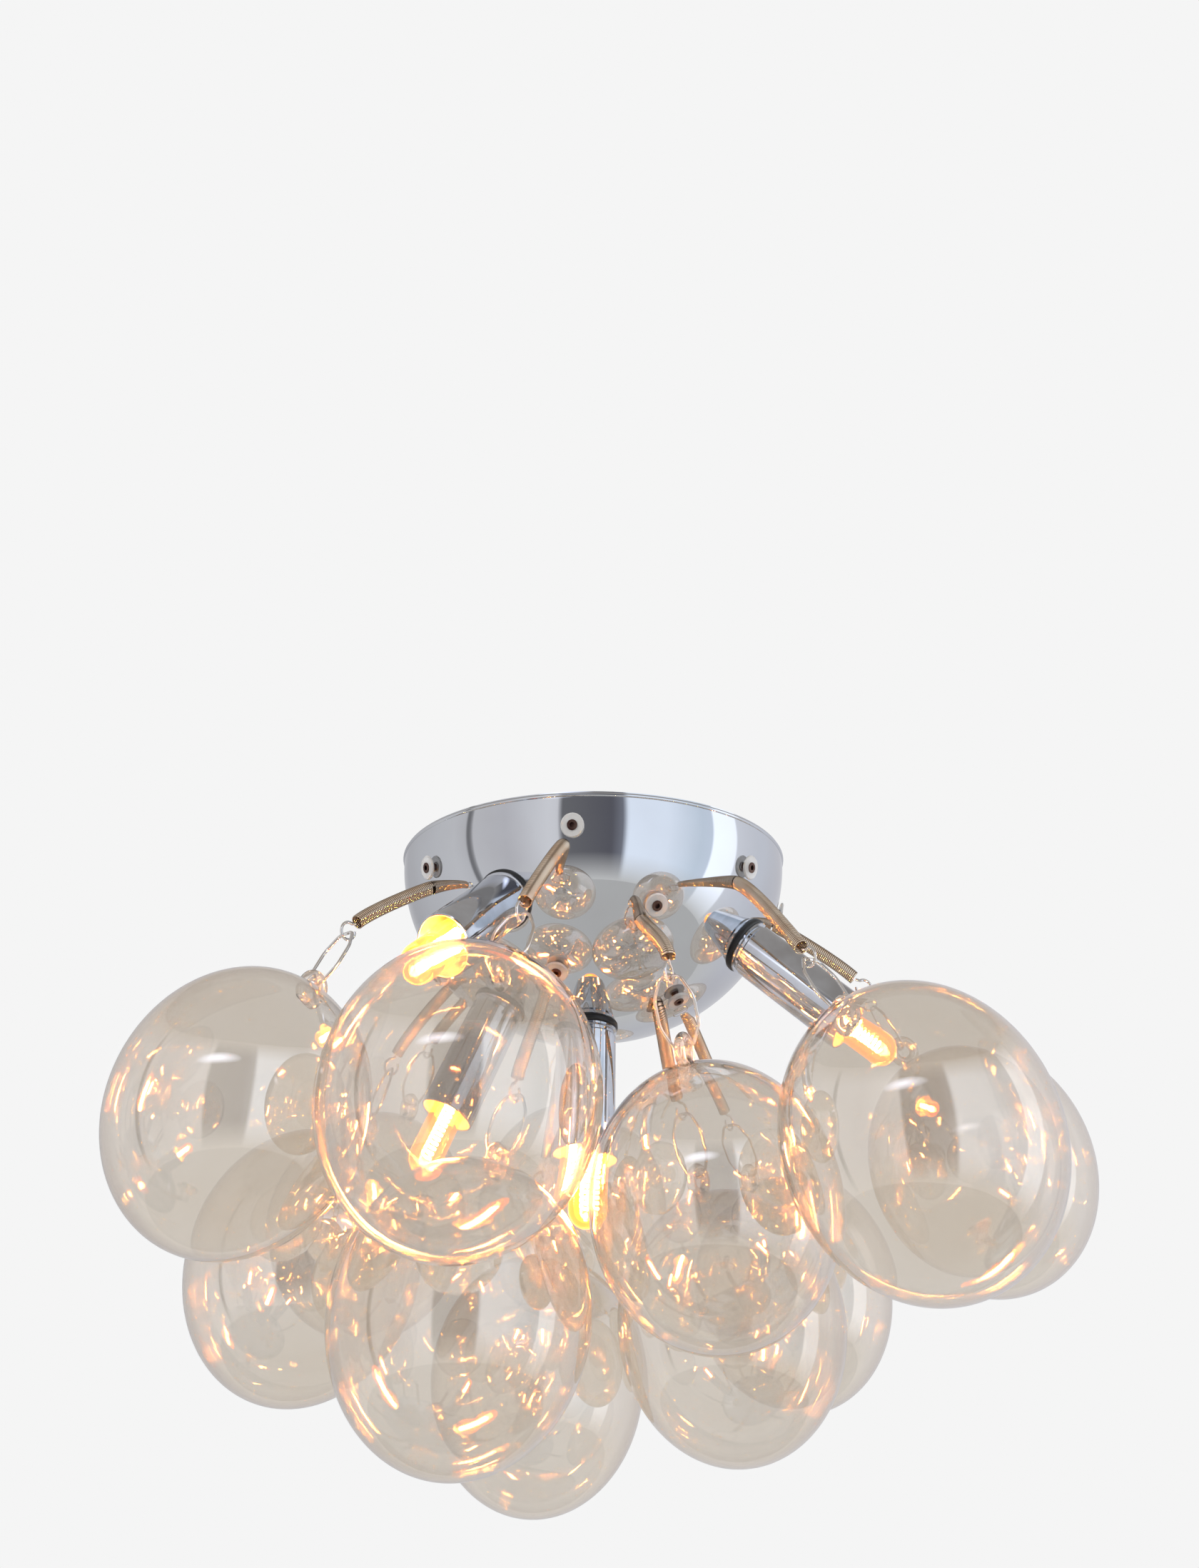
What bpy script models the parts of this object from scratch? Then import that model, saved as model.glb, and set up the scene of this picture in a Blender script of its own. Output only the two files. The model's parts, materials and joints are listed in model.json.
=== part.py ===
# Ceiling light: a chromed bowl canopy with four G9 lampholders and twelve
# sprung arms, each of which hangs a blown glass globe on a wire link.
# The origin is on the ceiling, at the middle of the canopy's mouth, +Z up.

import math

import bmesh
import bpy
from mathutils import Matrix, Vector

mm = 0.001
seat_gap = 0.3 * mm
overrun = 2 * mm
right_angle = 90
weld = 0.001 * mm

# Canopy, a spun half ellipsoid that hangs mouth up against the ceiling
canopy_radius = 93.5 * mm
canopy_depth = 80 * mm
canopy_wall = 1.2 * mm
rim_bead = 0.8 * mm
rim_bead_height = 2.6 * mm
canopy_steps = 36
canopy_rings = 9
canopy_inner_rings = 7

# Clear stop discs beside the arms' feet
disc_radius = 5.2 * mm
disc_thickness = 1.3 * mm
disc_standoff = 1.6 * mm
disc_post_radius = 1.6 * mm
disc_rise = 8.2 * mm
disc_aside = 4.6 * mm
disc_steps = 7

# Glass globes and their fused eyes
globe_diameter = 98 * mm
globe_wall = 1.6 * mm
globe_clearance = 2 * mm
globe_pitch = globe_diameter + globe_clearance
globe_steps = 12
globe_rings = 7
vent_radius = 3.3 * mm
eye_radius = 4.9 * mm
eye_tube = 2.3 * mm
eye_height = 5 * mm
eye_steps = 8

# Wire links, long octagons
link_wire = 0.7 * mm
link_length = 26.5 * mm
link_half_width = 8.6 * mm
link_end_half_width = 4.2 * mm
link_shoulder = 8 * mm

# Sprung arms, with the end loop that carries a link
spring_wire = 1.1 * mm
spring_radius = 2.3 * mm
spring_bend_share = 0.42
curl_pitch = 12 * mm
curl_points = 8
loop_radius = 3.6 * mm
loop_points = 7
loop_lead = 1.6 * mm
loop_start = math.radians(25)
loop_end = math.radians(305)

# Lampholders: rubber gasket, chromed sleeve on a hollow stem, ceramic socket
gasket_radius = 12.8 * mm
gasket_height = 3 * mm
gasket_skirt = 1.6 * mm
sleeve_radius = 12 * mm
sleeve_wall = 1 * mm
sleeve_length = 50 * mm
sleeve_floor = 1.6 * mm
stem_radius = 5 * mm
stem_bore = 3.2 * mm
nut_radius = 7.5 * mm
nut_height = 3.6 * mm
nut_relief = 1.3 * mm
lamp_steps = 12
socket_flange_height = 5 * mm
socket_radius = 8.6 * mm
socket_length = 30 * mm
socket_slot_depth = 5 * mm

# G9 bulbs
bulb_radius = 7.2 * mm
bulb_length = 41.5 * mm
bulb_shoulder = 3 * mm
bulb_steps = 12
well_steps = 8
pinch_width = 13.6 * mm
pinch_thickness = 4.2 * mm
pinch_height = 7 * mm
pin_radius = 0.7 * mm
pin_spacing = 9 * mm
pin_length = 8 * mm
pin_steps = 6

# Ceiling strap, its screws, the terminal block and the leads
strap_width = 22 * mm
strap_thickness = 1.5 * mm
strap_tab = 13 * mm
strap_side_gap = 1 * mm
strap_slot_length = 14 * mm
strap_slot_width = 5 * mm
strap_slot_share = 0.55
slot_end_steps = 6
cable_hole_radius = 5.5 * mm
cable_hole_share = 0.3
screw_radius = 2 * mm
screw_length = 7 * mm
screw_drop = 7.5 * mm
screw_steps = 12
earth_head_radius = 4 * mm
earth_head_height = 2.6 * mm
block_length = 32 * mm
block_width = 18 * mm
block_height = 15 * mm
well_radius = 1.9 * mm
well_depth = 6 * mm
well_spacing = 10 * mm
lead_radius = 1.7 * mm
lead_points = 7
boot_radius = 4.6 * mm
boot_length = 11 * mm
boot_overlap = 3 * mm

# The globes pack round a point under the canopy, a share of its depth down.
cluster_drop_share = 1.5
# Each arm: where its foot sits on the canopy (azimuth, slope of the surface
# there), where its globe hangs (azimuth, then its reach out from that point and
# its drop below it as shares of the globes' pitch) and how it leans away from
# its foot (azimuth, angle).
arm_shares = [
    (-147, 23, -143, 1.66, 0.06, -133, 29),
    (-98, 19, -105.5, 1.63, 0.12, -112, 30),
    (-42, 24, -51, 1.82, 0.22, -55, 34),
    (2, 24, 1, 1.70, 0.10, 1, 30),
    (50, 46, 52, 1.59, 0.47, 52, 34),
    (95, 25, 94, 1.66, 0.08, 91, 30),
    (135, 32, 134, 1.63, 0.20, 135, 25),
    (-179, 48, 178, 1.21, 0.46, -150, 20),
    (-73, 42, -53, 0.80, 0.32, 63, 26),
    (-43, 68, 28, 0.68, 0.65, 46, 20),
    (100, 58, 105, 0.99, 0.83, 101, 25),
    (-110, 62, -126, 0.81, 0.67, -121, 22),
]
# Each lampholder: azimuth and slope of its seat on the canopy
lamp_seats = [(-118, 34), (-21, 40), (-152, 64), (-95, 82)]


def clear_scene():
    for thing in list(bpy.data.objects):
        bpy.data.objects.remove(thing, do_unlink=True)


def finish(name, colour, metallic, roughness, transmission=0.0):
    material = bpy.data.materials.new(name)
    material.use_nodes = True
    shader = material.node_tree.nodes["Principled BSDF"]
    shader.inputs["Base Color"].default_value = (*colour, 1)
    shader.inputs["Metallic"].default_value = metallic
    shader.inputs["Roughness"].default_value = roughness
    shader.inputs["Transmission Weight"].default_value = transmission
    material.diffuse_color = (*colour, 1)
    return material


def place(name, mesh, material, frame=None):
    body = bpy.data.objects.new(name, mesh)
    bpy.context.scene.collection.objects.link(body)
    if frame is not None:
        body.matrix_world = frame
    if not mesh.materials:
        mesh.materials.append(material)
    return body


def mesh_from(bm, name):
    bmesh.ops.remove_doubles(bm, verts=bm.verts, dist=weld)
    bmesh.ops.recalc_face_normals(bm, faces=bm.faces)
    mesh = bpy.data.meshes.new(name)
    bm.to_mesh(mesh)
    bm.free()
    mesh.shade_smooth()
    mesh.set_sharp_from_angle(angle=math.radians(35))
    return mesh


def turned(name, outline, steps, closed=False):
    # Spins an outline of (radius, height) points about Z.
    bm = bmesh.new()
    corners = [bm.verts.new((radius, 0, height)) for radius, height in outline]
    edges = [bm.edges.new(pair) for pair in zip(corners, corners[1:])]
    if closed:
        edges.append(bm.edges.new((corners[-1], corners[0])))
    bmesh.ops.spin(
        bm, geom=corners + edges, cent=(0, 0, 0), axis=(0, 0, 1), angle=2 * math.pi, steps=steps
    )
    return mesh_from(bm, name)


def block(name, size, centre):
    bm = bmesh.new()
    bmesh.ops.create_cube(bm, size=1, matrix=Matrix.Translation(centre) @ Matrix.Diagonal((*size, 1)))
    return mesh_from(bm, name)


def rod(radius, low, high, steps):
    return turned("rod", [(0, low), (radius, low), (radius, high), (0, high)], steps)


def combine(body, tool, operation):
    change = body.modifiers.new(tool.name, "BOOLEAN")
    change.operation = operation
    change.object = tool
    tool.hide_render = True
    tool.display_type = "WIRE"


def applied(body):
    # The body's finished mesh, after which its pattern objects can go.
    bpy.context.view_layer.update()
    graph = bpy.context.evaluated_depsgraph_get()
    mesh = bpy.data.meshes.new_from_object(body.evaluated_get(graph))
    tools = [change.object for change in body.modifiers if change.type == "BOOLEAN"]
    for thing in [body, *tools]:
        bpy.data.objects.remove(thing, do_unlink=True)
    return mesh


def tube(name, points, radius, cyclic=False):
    path = bpy.data.curves.new(name, "CURVE")
    path.dimensions = "3D"
    path.bevel_depth = radius
    path.bevel_resolution = 1
    path.use_fill_caps = not cyclic
    line = path.splines.new("POLY")
    line.points.add(len(points) - 1)
    for knot, point in zip(line.points, points):
        knot.co = (*point, 1)
    line.use_cyclic_u = cyclic
    return path


def bezier(start, first, second, end, share):
    rest = 1 - share
    return (
        start * rest**3 + first * 3 * share * rest**2 + second * 3 * share**2 * rest + end * share**3
    )


def direction(azimuth, slope):
    turn = math.radians(azimuth)
    fall = math.radians(slope)
    return Vector(
        (math.cos(fall) * math.cos(turn), math.cos(fall) * math.sin(turn), -math.sin(fall))
    )


def axes_frame(across, up, origin):
    # A frame with X across and Z up, both of unit length and square.
    ahead = up.cross(across)
    return Matrix.Translation(origin) @ Matrix((across, ahead, up)).transposed().to_4x4()


def canopy_seat(azimuth, slope):
    # The frame on the canopy's outside whose Z is the surface's normal.
    normal = direction(azimuth, slope)
    stretched = Vector(
        (canopy_radius * normal.x, canopy_radius * normal.y, canopy_depth * normal.z)
    )
    point = Vector(
        (canopy_radius * stretched.x, canopy_radius * stretched.y, canopy_depth * stretched.z)
    )
    across = Vector((0, 0, 1)).cross(normal).normalized()
    return axes_frame(across, normal, point / stretched.length)


def canopy_seat_near(point):
    level = point.xy / canopy_radius**2
    slope = math.atan2(-point.z / canopy_depth**2, level.length)
    return canopy_seat(math.degrees(math.atan2(level.y, level.x)), math.degrees(slope))


def bowl_arc(radius, depth, rings):
    # From the pole up to the mouth.
    arc = []
    for ring in range(rings + 1):
        lift = math.pi / 2 * ring / rings
        arc.append((radius * math.sin(lift), -depth * math.cos(lift)))
    return arc


def make_canopy(chrome):
    outside = bowl_arc(canopy_radius, canopy_depth, canopy_rings)[:-1]
    bead = [
        (canopy_radius, -rim_bead_height),
        (canopy_radius + rim_bead, -rim_bead_height + rim_bead),
        (canopy_radius + rim_bead, -rim_bead),
        (canopy_radius, 0),
    ]
    inside = bowl_arc(canopy_radius - canopy_wall, canopy_depth - canopy_wall, canopy_inner_rings)
    canopy = place("canopy", turned("canopy", outside + bead + inside[::-1], canopy_steps), chrome)

    # The holes for the lampholders' stems and for the two side screws
    bores = []
    for azimuth, slope in lamp_seats:
        bore = rod(stem_radius + seat_gap, -canopy_wall - overrun, overrun, lamp_steps)
        bore.transform(canopy_seat(azimuth, slope))
        bores.append(bore)
    for side in (1, -1):
        bore = rod(screw_radius + seat_gap, -screw_length, screw_length, screw_steps)
        bore.transform(side_screw_frame(side))
        bores.append(bore)
    combine(canopy, place("canopy_bores", joined("canopy_bores", bores), chrome), "DIFFERENCE")

    discs = []
    for azimuth, slope, *_ in arm_shares:
        foot = canopy_seat(azimuth, slope)
        disc = turned(
            "disc",
            [
                (0, -canopy_wall),
                (disc_post_radius, -canopy_wall),
                (disc_post_radius, disc_standoff),
                (disc_radius, disc_standoff),
                (disc_radius, disc_standoff + disc_thickness),
                (0, disc_standoff + disc_thickness),
            ],
            disc_steps,
        )
        disc.transform(canopy_seat_near(foot @ Vector((disc_aside, disc_rise, 0))))
        discs.append(disc)
    combine(canopy, place("canopy_discs", joined("canopy_discs", discs), chrome), "UNION")
    return canopy


def joined(name, meshes):
    bm = bmesh.new()
    for mesh in meshes:
        bm.from_mesh(mesh)
    mesh = bpy.data.meshes.new(name)
    bm.to_mesh(mesh)
    bm.free()
    return mesh


def side_screw_frame(side):
    # X along Y, Z out through the canopy's side wall, on the outer surface.
    reach = canopy_radius * math.sqrt(1 - (screw_drop / canopy_depth) ** 2)
    return axes_frame(Vector((0, side, 0)), Vector((side, 0, 0)), Vector((side * reach, 0, -screw_drop)))


def make_strap(steel):
    inner_radius = canopy_radius - canopy_wall
    tab_radius = inner_radius * math.sqrt(1 - (strap_tab / (canopy_depth - canopy_wall)) ** 2)
    half = math.sqrt(tab_radius**2 - (strap_width / 2) ** 2) - strap_side_gap
    outline = [
        (-half, 0),
        (half, 0),
        (half, -strap_tab),
        (half - strap_thickness, -strap_tab),
        (half - strap_thickness, -strap_thickness),
        (-half + strap_thickness, -strap_thickness),
        (-half + strap_thickness, -strap_tab),
        (-half, -strap_tab),
    ]
    bm = bmesh.new()
    face = bm.faces.new([bm.verts.new((x, -strap_width / 2, z)) for x, z in outline])
    pulled = bmesh.ops.extrude_face_region(bm, geom=[face])
    moved = [item for item in pulled["geom"] if isinstance(item, bmesh.types.BMVert)]
    bmesh.ops.translate(bm, verts=moved, vec=(0, strap_width, 0))
    strap = place("ceiling_strap", mesh_from(bm, "ceiling_strap"), steel)

    cuts = []
    for side in (1, -1):
        middle = Vector((side * half * strap_slot_share, 0, 0))
        cuts.append(slot_cutter(middle))
        bore = rod(screw_radius + seat_gap, -screw_length - overrun, overrun, screw_steps)
        bore.transform(side_screw_frame(side))
        cuts.append(bore)
    entry = rod(cable_hole_radius, -strap_thickness - overrun, overrun, screw_steps)
    entry.transform(Matrix.Translation((half * cable_hole_share, 0, 0)))
    earth = rod(screw_radius + seat_gap, -strap_thickness - overrun, overrun, screw_steps)
    earth.transform(Matrix.Translation(earth_place(half)))
    cuts += [entry, earth]
    combine(strap, place("strap_cuts", joined("strap_cuts", cuts), steel), "DIFFERENCE")
    return half


def slot_cutter(middle):
    # A round-ended slot along X.
    radius = strap_slot_width / 2
    spread = strap_slot_length / 2 - radius
    outline = []
    for side in (1, -1):
        for step in range(slot_end_steps + 1):
            turn = math.pi * (step / slot_end_steps - 0.5)
            outline.append((side * (spread + radius * math.cos(turn)), side * radius * math.sin(turn)))
    bm = bmesh.new()
    face = bm.faces.new([bm.verts.new((x, y, overrun)) for x, y in outline])
    pulled = bmesh.ops.extrude_face_region(bm, geom=[face])
    moved = [item for item in pulled["geom"] if isinstance(item, bmesh.types.BMVert)]
    bmesh.ops.translate(bm, verts=moved, vec=(0, 0, -strap_thickness - 2 * overrun))
    bmesh.ops.translate(bm, verts=bm.verts, vec=middle)
    return mesh_from(bm, "slot")


def earth_place(half):
    return Vector((-half * cable_hole_share, 0, 0))


def make_screws(steel, brass, half):
    for number, side in enumerate((1, -1), 1):
        screw = rod(screw_radius, -screw_length, -seat_gap, screw_steps)
        place(f"side_screw_{number}", screw, steel, side_screw_frame(side))
    top = -strap_thickness - seat_gap
    earth = turned(
        "earth_screw",
        [
            (0, top - earth_head_height),
            (earth_head_radius, top - earth_head_height),
            (earth_head_radius, top),
            (screw_radius, top),
            (screw_radius, -seat_gap),
            (0, -seat_gap),
        ],
        screw_steps,
    )
    place("earth_screw", earth, brass, Matrix.Translation(earth_place(half)))


def make_terminal_block(nylon):
    top = -strap_thickness - seat_gap
    size = (block_length, block_width, block_height)
    body = place("terminal_block", block("terminal_block", size, (0, 0, top - block_height / 2)), nylon)
    wells = []
    for column in (-1, 0, 1):
        for side in (1, -1):
            well = rod(well_radius, -well_depth, overrun, well_steps)
            well.transform(
                axes_frame(
                    Vector((side, 0, 0)),
                    Vector((0, side, 0)),
                    Vector((column * well_spacing, side * block_width / 2, top - block_height / 2)),
                )
            )
            wells.append(well)
    combine(body, place("block_wells", joined("block_wells", wells), nylon), "DIFFERENCE")
    return top - block_height


def make_loom(rubber, block_bottom):
    # Four leads, one out of each stem, that meet in the boot under the block.
    boot_top = block_bottom - seat_gap
    boot_mesh = rod(boot_radius, boot_top - boot_length, boot_top, bulb_steps)
    loom = place("wiring_loom", boot_mesh, rubber)
    meet = Vector((0, 0, boot_top - boot_length + boot_overlap))
    for number, (azimuth, slope) in enumerate(lamp_seats, 1):
        seat = canopy_seat(azimuth, slope)
        inward = -seat.col[2].xyz
        back = seat @ Vector((0, 0, socket_base() - seat_gap))
        mouth = seat @ Vector((0, 0, -canopy_wall - nut_relief - nut_height - overrun))
        run = (meet - mouth).length
        spread = (mouth.xy.normalized() * (boot_radius - lead_radius - seat_gap)).to_3d()
        end = meet + spread * (0.5 if mouth.xy.length > boot_radius else 0)
        points = [back]
        for step in range(lead_points):
            share = step / (lead_points - 1)
            points.append(
                bezier(mouth, mouth + inward * run / 3, end - Vector((0, 0, run / 3)), end, share)
            )
        lead = place(f"lead_{number}", tube("lead", points, lead_radius), rubber)
        solid = place(f"lead_solid_{number}", applied(lead), rubber)
        combine(loom, solid, "UNION")


def sleeve_base():
    return gasket_height + seat_gap


def socket_base():
    return sleeve_base() + sleeve_floor + seat_gap


def socket_top():
    return socket_base() + socket_length


def make_lampholders(rubber, chrome, ceramic, glass):
    bore = sleeve_radius - sleeve_wall
    foot = sleeve_base()
    nut_top = -canopy_wall - nut_relief
    sleeve = turned(
        "lamp_sleeve",
        [
            (sleeve_radius, foot),
            (sleeve_radius, foot + sleeve_length),
            (bore, foot + sleeve_length),
            (bore, foot + sleeve_floor),
            (stem_bore, foot + sleeve_floor),
            (stem_bore, nut_top - nut_height),
            (nut_radius, nut_top - nut_height),
            (nut_radius, nut_top),
            (stem_radius, nut_top),
            (stem_radius, foot),
        ],
        lamp_steps,
        closed=True,
    )
    socket = make_socket(bore - seat_gap, ceramic)
    bulb = make_bulb(glass)
    ring = turned(
        "lamp_gasket",
        [
            (gasket_radius, -gasket_skirt),
            (gasket_radius, gasket_height),
            (stem_radius + seat_gap, gasket_height),
            (stem_radius + seat_gap, -gasket_skirt),
        ],
        lamp_steps,
        closed=True,
    )
    swollen = bowl_arc(canopy_radius + seat_gap, canopy_depth + seat_gap, canopy_rings)
    swollen.append((0, 0))
    for number, (azimuth, slope) in enumerate(lamp_seats, 1):
        seat = canopy_seat(azimuth, slope)
        gasket = place(f"lamp_gasket_{number}", ring.copy(), rubber, seat)
        cup = place(f"canopy_cutter_{number}", turned("canopy_cutter", swollen, canopy_steps), chrome)
        combine(gasket, cup, "DIFFERENCE")
        place(f"lamp_sleeve_{number}", sleeve, chrome, seat)
        place(f"lamp_socket_{number}", socket, ceramic, seat)
        place(f"bulb_{number}", bulb, glass, seat)


def make_socket(flange_radius, ceramic):
    foot = socket_base()
    outline = [
        (0, foot),
        (flange_radius, foot),
        (flange_radius, foot + socket_flange_height),
        (socket_radius, foot + socket_flange_height),
        (socket_radius, socket_top()),
        (0, socket_top()),
    ]
    body = place("socket_pattern", turned("lamp_socket", outline, lamp_steps), ceramic)
    slot_floor = socket_top() - socket_slot_depth
    slot_width = pinch_width + 2 * seat_gap
    slot_thickness = pinch_thickness + 2 * seat_gap
    slot_height = socket_slot_depth + overrun
    slot = block(
        "slot", (slot_width, slot_thickness, slot_height), (0, 0, slot_floor + slot_height / 2)
    )
    combine(body, place("socket_slot", slot, ceramic), "DIFFERENCE")
    for side in (1, -1):
        well = rod(pin_radius + 2 * seat_gap, slot_floor - pin_length - overrun, slot_floor + seat_gap, pin_steps)
        well.transform(Matrix.Translation((side * pin_spacing / 2, 0, 0)))
        combine(body, place(f"socket_well_{side}", well, ceramic), "DIFFERENCE")
    return applied(body)


def make_bulb(glass):
    foot = socket_top() - socket_slot_depth + seat_gap
    neck = foot + pinch_height
    crown = neck + bulb_length - bulb_radius
    outline = [(0, neck - bulb_shoulder / 3), (pinch_thickness / 2, neck - bulb_shoulder / 3)]
    outline.append((bulb_radius, neck + bulb_shoulder))
    for step in range(3):
        lift = math.pi / 2 * step / 3
        outline.append((bulb_radius * math.cos(lift), crown + bulb_radius * math.sin(lift)))
    outline.append((0, crown + bulb_radius))
    body = place("bulb_pattern", turned("bulb", outline, bulb_steps), glass)
    pinch = block(
        "pinch", (pinch_width, pinch_thickness, pinch_height), (0, 0, foot + pinch_height / 2)
    )
    combine(body, place("bulb_pinch", pinch, glass), "UNION")
    for side in (1, -1):
        pin = rod(pin_radius, foot - pin_length, foot + pinch_height / 2, pin_steps)
        pin.transform(Matrix.Translation((side * pin_spacing / 2, 0, 0)))
        combine(body, place(f"bulb_pin_{side}", pin, glass), "UNION")
    return applied(body)


def make_globe(glass):
    # In the globe's own frame: the link's wire is the origin, Z up the link.
    eye_drop = eye_radius - eye_tube - seat_gap - link_wire
    radius = globe_diameter / 2
    centre = -eye_drop - eye_height - radius
    inner = radius - globe_wall
    arcs = []
    for wall_radius in (radius, inner):
        stop = math.asin(vent_radius / wall_radius)
        arc = []
        for ring in range(globe_rings + 1):
            lift = (math.pi - stop) * ring / globe_rings
            arc.append((wall_radius * math.sin(lift), centre - wall_radius * math.cos(lift)))
        arcs.append(arc)
    shell = place("globe_pattern", turned("globe", arcs[0] + arcs[1][::-1], globe_steps), glass)
    eye = tube("eye", ring_points(eye_radius, eye_steps, -eye_drop), eye_tube, cyclic=True)
    eye_body = place("eye_pattern", eye, glass)
    combine(shell, place("eye_solid", applied(eye_body), glass), "UNION")
    return applied(shell)


def ring_points(radius, steps, height):
    # A circle in the YZ plane.
    turns = [2 * math.pi * step / steps for step in range(steps)]
    return [Vector((0, radius * math.sin(turn), height + radius * math.cos(turn))) for turn in turns]


def make_link_path():
    ends = (0, -link_length)
    shoulders = (-link_shoulder, -link_length + link_shoulder)
    corners = [
        (-link_end_half_width, ends[0]),
        (link_end_half_width, ends[0]),
        (link_half_width, shoulders[0]),
        (link_half_width, shoulders[1]),
        (link_end_half_width, ends[1]),
        (-link_end_half_width, ends[1]),
        (-link_half_width, shoulders[1]),
        (-link_half_width, shoulders[0]),
    ]
    return tube("link", [Vector((x, 0, z)) for x, z in corners], link_wire, cyclic=True)


def arm_layout(row):
    # The foot's frame on the canopy and the link's frame on the spring's loop.
    foot_azimuth, foot_slope, azimuth, reach_share, drop_share, lean_azimuth, lean = row
    eye_drop = eye_radius - eye_tube - seat_gap - link_wire
    hang = link_length + eye_drop + eye_height + globe_diameter / 2
    out = direction(azimuth, 0)
    drop = canopy_depth * cluster_drop_share + globe_pitch * drop_share
    globe = out * globe_pitch * reach_share - Vector((0, 0, drop))
    down = direction(lean_azimuth, right_angle - lean)
    hinge = down.cross(direction(lean_azimuth, 0)).normalized()
    link = axes_frame(hinge, -down, globe - down * hang)
    return canopy_seat(foot_azimuth, foot_slope), link


def spring_path(foot, link):
    hinge = link.col[0].xyz
    up = link.col[2].xyz
    normal = foot.col[2].xyz
    loop_centre = link.translation + up * (loop_radius - spring_wire - seat_gap - link_wire)
    start = foot @ Vector((0, 0, seat_gap + 2 * spring_wire))
    toward = (loop_centre - start).normalized() - up
    approach = (toward - hinge * toward.dot(hinge)).normalized()
    tip = loop_centre - approach * (loop_radius + loop_lead)
    run = (tip - start).length
    first = start + normal * run * spring_bend_share
    second = tip - approach * run * spring_bend_share

    # Curls about a bent centre line, in a frame carried along without twist
    curls = max(3, round(run / curl_pitch))
    count = curls * curl_points
    side = foot.col[0].xyz
    points = [foot @ Vector((spring_radius, 0, seat_gap))]
    here = start
    ahead = normal
    for step in range(count + 1):
        share = step / count
        centre = bezier(start, first, second, tip, share)
        if step:
            heading = (centre - here).normalized()
            side = (ahead.rotation_difference(heading) @ side).normalized()
            ahead = heading
        here = centre
        turn = 2 * math.pi * step / curl_points
        narrow = min(1, (count - step) / (curl_points / 2))
        radius = spring_radius * narrow
        points.append(centre + (side * math.cos(turn) + ahead.cross(side) * math.sin(turn)) * radius)
    for step in range(loop_points + 1):
        turn = loop_start + (loop_end - loop_start) * step / loop_points
        offset = hinge.cross(approach) * math.sin(turn) - approach * math.cos(turn)
        points.append(loop_centre + offset * loop_radius)
    return points


def self_gap(points, radius):
    # The least gap between two stretches that are over a curl's half apart.
    least = math.inf
    for first in range(len(points)):
        for second in range(first + curl_points // 2, len(points)):
            least = min(least, (points[first] - points[second]).length - 2 * radius)
    return least


def make_arms(copper, steel, glass):
    globe = make_globe(glass)
    link_curve = place("link_pattern", make_link_path(), steel)
    link_mesh = applied(link_curve)
    for number, row in enumerate(arm_shares, 1):
        foot, link = arm_layout(row)
        points = spring_path(foot, link)
        place(f"spring_{number}", tube(f"spring_{number}", points, spring_wire), copper)
        place(f"link_{number}", link_mesh, steel, link)
        hung = link @ Matrix.Translation((0, 0, -link_length))
        place(f"globe_{number}", globe, glass, hung)
        gap = self_gap(points, spring_wire) / mm
        pivots = [tuple(round(value, 6) for value in spot) for spot in (link.translation, hung.translation, link.col[0].xyz)]
        print(f"arm {number}: spring's least gap to itself {gap:.2f} mm, link pivot {pivots[0]}, globe pivot {pivots[1]}, hinge {pivots[2]}")


def main():
    clear_scene()
    chrome = finish("chrome", (0.8, 0.8, 0.82), 1, 0.05)
    steel = finish("zinced steel", (0.6, 0.6, 0.6), 1, 0.35)
    brass = finish("brass", (0.75, 0.55, 0.2), 1, 0.3)
    copper = finish("coppered spring wire", (0.5, 0.3, 0.2), 1, 0.3)
    rubber = finish("black rubber", (0.02, 0.02, 0.02), 0, 0.6)
    nylon = finish("white nylon", (0.85, 0.85, 0.82), 0, 0.5)
    ceramic = finish("ceramic", (0.9, 0.85, 0.7), 0, 0.4)
    glass = finish("amber lustre glass", (0.8, 0.6, 0.4), 0, 0.05, 0.8)
    clear = finish("clear glass", (0.95, 0.95, 0.95), 0, 0.05, 0.9)

    make_canopy(chrome)
    half = make_strap(steel)
    make_screws(steel, brass, half)
    block_bottom = make_terminal_block(nylon)
    make_loom(rubber, block_bottom)
    make_lampholders(rubber, chrome, ceramic, clear)
    make_arms(copper, steel, glass)


main()
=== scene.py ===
# Ceiling light: chrome bowl, sprung arms, amber lustre globes, lit G9 capsules
import json
import math

import bpy
from mathutils import Matrix, Vector


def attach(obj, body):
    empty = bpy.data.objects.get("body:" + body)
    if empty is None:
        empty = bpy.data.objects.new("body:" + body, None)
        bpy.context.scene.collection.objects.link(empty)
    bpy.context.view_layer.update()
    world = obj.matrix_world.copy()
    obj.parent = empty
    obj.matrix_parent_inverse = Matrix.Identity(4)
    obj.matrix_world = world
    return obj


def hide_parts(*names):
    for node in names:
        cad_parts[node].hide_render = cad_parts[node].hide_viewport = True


mm = 0.001
mainBody = "canopy_assembly"

camera = {
    "place": (6.2 * mm, -642.9 * mm, -222.1 * mm),
    "pitch": 38.44,  # degrees above level
    "focal": 1800,  # pixels
    "axisPixel": (849, 578),  # where the lens looks
    "picture": (1680, 2197),  # pixels
    "sensor": 36,  # millimetres, along the taller side
    "nearest": 5 * mm,
}
# light crosses many glass walls, and the smallest sparkles stay bright
lightPaths = {
    "max_bounces": 28,
    "transmission_bounces": 28,
    "transparent_max_bounces": 28,
    "glossy_bounces": 24,
    "sample_clamp_indirect": 130,
}


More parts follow.
